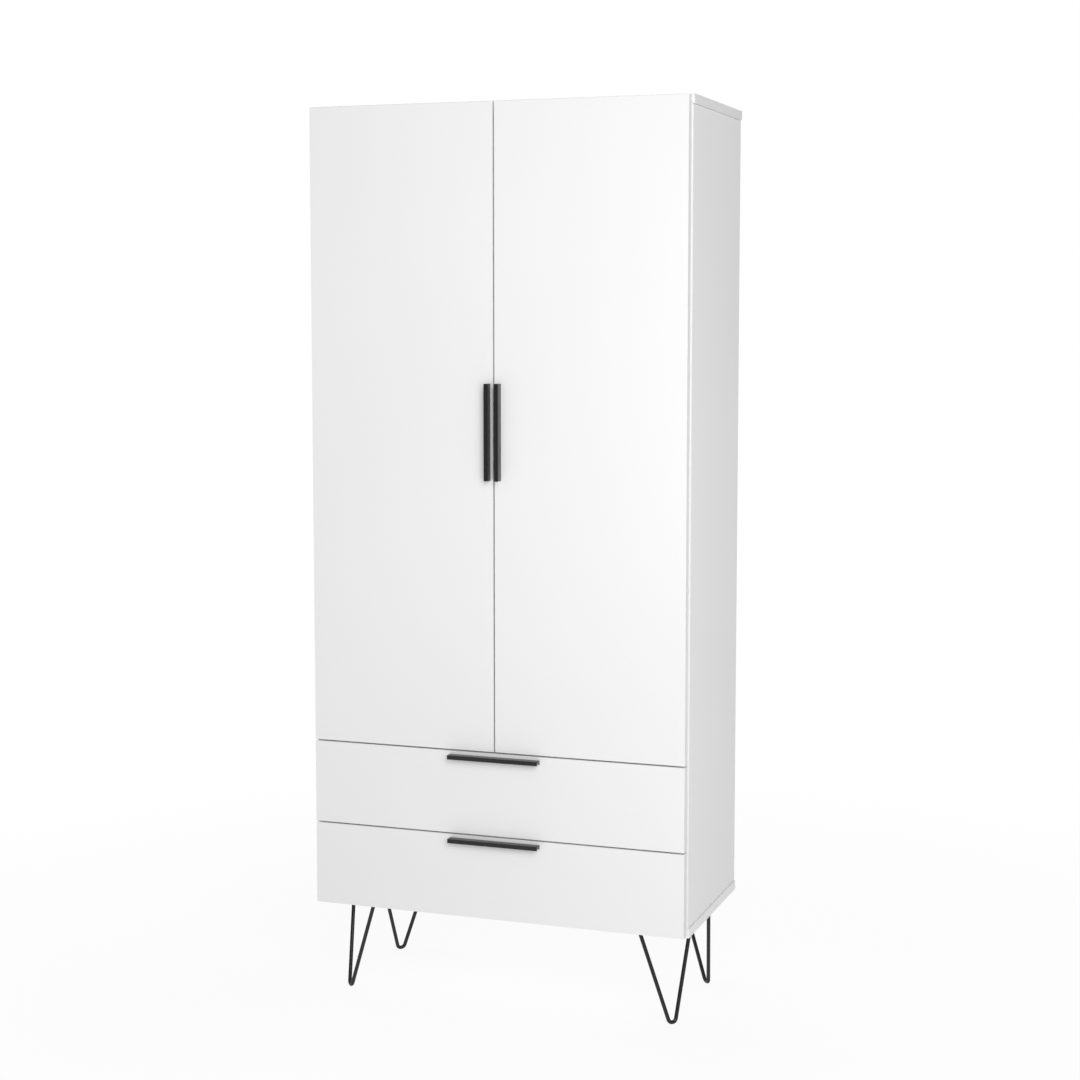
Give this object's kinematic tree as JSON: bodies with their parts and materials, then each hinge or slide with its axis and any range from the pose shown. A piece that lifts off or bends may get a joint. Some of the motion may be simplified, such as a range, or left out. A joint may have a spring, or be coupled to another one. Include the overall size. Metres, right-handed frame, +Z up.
{
  "type": "wardrobe with doors",
  "caption": "Tall white wardrobe with hinged doors above full-width drawers, slim black channel handles and black hairpin legs.",
  "frame": {"origin": "on the floor, under the centre of the whole object's box", "axes": "+Z up, the doors face -Y, +X to the right of someone facing the doors"},
  "size_m": [0.8, 0.407, 1.83],
  "materials": {
    "white_board": "satin white melamine on chipboard, edge banded",
    "pale_board": "matte off-white foil on thin board",
    "black_metal": "fine-textured matte black powder coat",
    "nickel": "nickel-plated steel",
    "zinc_steel": "zinc-plated steel"
  },
  "bodies": {
    "carcass": {"top_panel": "white_board", "bottom_panel": "white_board", "right_side_panel": "white_board", "left_side_panel": "white_board", "divider_shelf": "white_board", "hat_shelf": "white_board", "upper_back_board": "pale_board", "lower_back_board": "pale_board", "hanging_rail": "nickel", "right_rail_bracket": "nickel", "left_rail_bracket": "nickel", "right_wall_angle": "zinc_steel", "left_wall_angle": "zinc_steel", "front_left_leg": "black_metal", "front_right_leg": "black_metal", "rear_left_leg": "black_metal", "rear_right_leg": "black_metal", "right_lower_hinge_arm": "nickel", "left_lower_hinge_arm": "nickel", "right_middle_hinge_arm": "nickel", "left_middle_hinge_arm": "nickel", "right_upper_hinge_arm": "nickel", "left_upper_hinge_arm": "nickel", "upper_drawer_right_outer_runner": "zinc_steel", "upper_drawer_left_outer_runner": "zinc_steel", "lower_drawer_right_outer_runner": "zinc_steel", "lower_drawer_left_outer_runner": "zinc_steel"},
    "right_links": {"right_lower_hinge_link": "nickel", "right_middle_hinge_link": "nickel", "right_upper_hinge_link": "nickel"},
    "left_links": {"left_lower_hinge_link": "nickel", "left_middle_hinge_link": "nickel", "left_upper_hinge_link": "nickel"},
    "right_door": {"right_door_panel": "white_board", "right_door_handle": "black_metal", "right_lower_hinge_cup": "nickel", "right_middle_hinge_cup": "nickel", "right_upper_hinge_cup": "nickel"},
    "left_door": {"left_door_panel": "white_board", "left_door_handle": "black_metal", "left_lower_hinge_cup": "nickel", "left_middle_hinge_cup": "nickel", "left_upper_hinge_cup": "nickel"},
    "upper_drawer": {"upper_drawer_front": "white_board", "upper_drawer_right_side": "pale_board", "upper_drawer_left_side": "pale_board", "upper_drawer_back": "pale_board", "upper_drawer_base": "pale_board", "upper_drawer_handle": "black_metal", "upper_drawer_right_inner_runner": "zinc_steel", "upper_drawer_left_inner_runner": "zinc_steel"},
    "lower_drawer": {"lower_drawer_front": "white_board", "lower_drawer_right_side": "pale_board", "lower_drawer_left_side": "pale_board", "lower_drawer_back": "pale_board", "lower_drawer_base": "pale_board", "lower_drawer_handle": "black_metal", "lower_drawer_right_inner_runner": "zinc_steel", "lower_drawer_left_inner_runner": "zinc_steel"}
  },
  "joints": [
    {"name": "right_link_hinge", "type": "hinge", "parent": "carcass", "child": "right_links", "pos_m": [0.3555, -0.1595, 0], "axis": [0, 0, -1], "range_deg": [0, 28.6]},
    {"name": "right_door_hinge", "type": "hinge", "parent": "right_links", "child": "right_door", "pos_m": [0.383, -0.1715, 0], "axis": [0, 0, 1], "range_deg": [0, 123.5]},
    {"name": "left_link_hinge", "type": "hinge", "parent": "carcass", "child": "left_links", "pos_m": [-0.3555, -0.1595, 0], "axis": [0, 0, 1], "range_deg": [0, 28.6]},
    {"name": "left_door_hinge", "type": "hinge", "parent": "left_links", "child": "left_door", "pos_m": [-0.383, -0.1715, 0], "axis": [0, 0, -1], "range_deg": [0, 123.5]},
    {"name": "upper_drawer_slide", "type": "slide", "parent": "carcass", "child": "upper_drawer", "axis": [0, -1, 0], "range_m": [0, 0.225]},
    {"name": "lower_drawer_slide", "type": "slide", "parent": "carcass", "child": "lower_drawer", "axis": [0, -1, 0], "range_m": [0, 0.225]}
  ],
  "couplings": [
    {"joint": "right_link_hinge", "follows": "right_door_hinge", "ratio": 0.23077},
    {"joint": "left_link_hinge", "follows": "left_door_hinge", "ratio": 0.23077}
  ]
}
